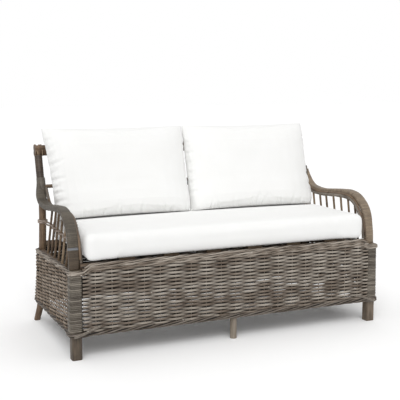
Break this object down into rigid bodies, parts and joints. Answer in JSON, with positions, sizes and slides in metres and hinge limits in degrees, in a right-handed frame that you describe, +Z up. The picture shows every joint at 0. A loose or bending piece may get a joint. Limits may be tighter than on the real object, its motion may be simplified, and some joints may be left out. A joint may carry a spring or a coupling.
{
  "type": "rattan garden sofa",
  "caption": "Rattan garden sofa for two: pole frame, woven base on short legs, swept bound arms, loose off-white seat and back cushions.",
  "frame": {"origin": "on the floor, under the middle of the whole sofa", "axes": "+X along the seat (the left end, seen from the front, is -X), +Y from front to back, +Z up"},
  "size_m": [1.54, 0.7264, 0.9443],
  "materials": {
    "pole": "satin, weathered rattan pole",
    "peel": "satin, bound with rattan peel",
    "wicker": "matte, woven rattan core",
    "slat": "matte, plain softwood",
    "cushion": "matte off-white cover",
    "tab": "matte woven tape"
  },
  "bodies": {
    "frame": {"centre_leg_front": "pole", "centre_leg_rear": "pole", "base_rail_front": "pole", "base_rail_rear": "pole", "seat_rail_front": "pole", "seat_rail_rear": "pole", "woven_panel_front": "wicker", "woven_panel_rear": "wicker", "back_top_rail": "peel", "back_mid_rail": "pole", "front_post_left": "pole", "rear_post_left": "pole", "corner_wrap_left": "peel", "base_rail_left": "pole", "seat_rail_left": "pole", "woven_panel_left": "wicker", "arm_bow_left": "peel", "arm_inner_pole_left": "pole", "arm_band_left": "peel", "arm_spindle_left_1": "pole", "arm_spindle_left_2": "pole", "arm_spindle_left_3": "pole", "arm_spindle_left_4": "pole", "arm_spindle_left_5": "pole", "arm_spindle_left_6": "pole", "arm_spindle_left_7": "pole", "front_post_right": "pole", "rear_post_right": "pole", "corner_wrap_right": "peel", "base_rail_right": "pole", "seat_rail_right": "pole", "woven_panel_right": "wicker", "arm_bow_right": "peel", "arm_inner_pole_right": "pole", "arm_band_right": "peel", "arm_spindle_right_1": "pole", "arm_spindle_right_2": "pole", "arm_spindle_right_3": "pole", "arm_spindle_right_4": "pole", "arm_spindle_right_5": "pole", "arm_spindle_right_6": "pole", "arm_spindle_right_7": "pole", "seat_slat_1": "slat", "seat_slat_2": "slat", "seat_slat_3": "slat", "seat_slat_4": "slat", "seat_slat_5": "slat", "seat_slat_6": "slat", "back_spindle_1": "pole", "back_spindle_2": "pole", "back_spindle_3": "pole", "back_spindle_4": "pole", "back_spindle_5": "pole", "back_spindle_6": "pole", "back_spindle_7": "pole"},
    "seat_cushion": {"seat_cushion": "cushion"},
    "back_cushion_left": {"back_cushion_left": "cushion", "seam_tab": "tab"},
    "back_cushion_right": {"back_cushion_right": "cushion"}
  },
  "joints": [
    {"name": "seat_cushion_lift", "type": "slide", "parent": "frame", "child": "seat_cushion", "axis": [0, 0, 1], "range_m": [0, 0.5]},
    {"name": "back_cushion_left_lift", "type": "slide", "parent": "seat_cushion", "child": "back_cushion_left", "axis": [0, 0, 1], "range_m": [0, 0.5]},
    {"name": "back_cushion_right_lift", "type": "slide", "parent": "seat_cushion", "child": "back_cushion_right", "axis": [0, 0, 1], "range_m": [0, 0.5]}
  ]
}
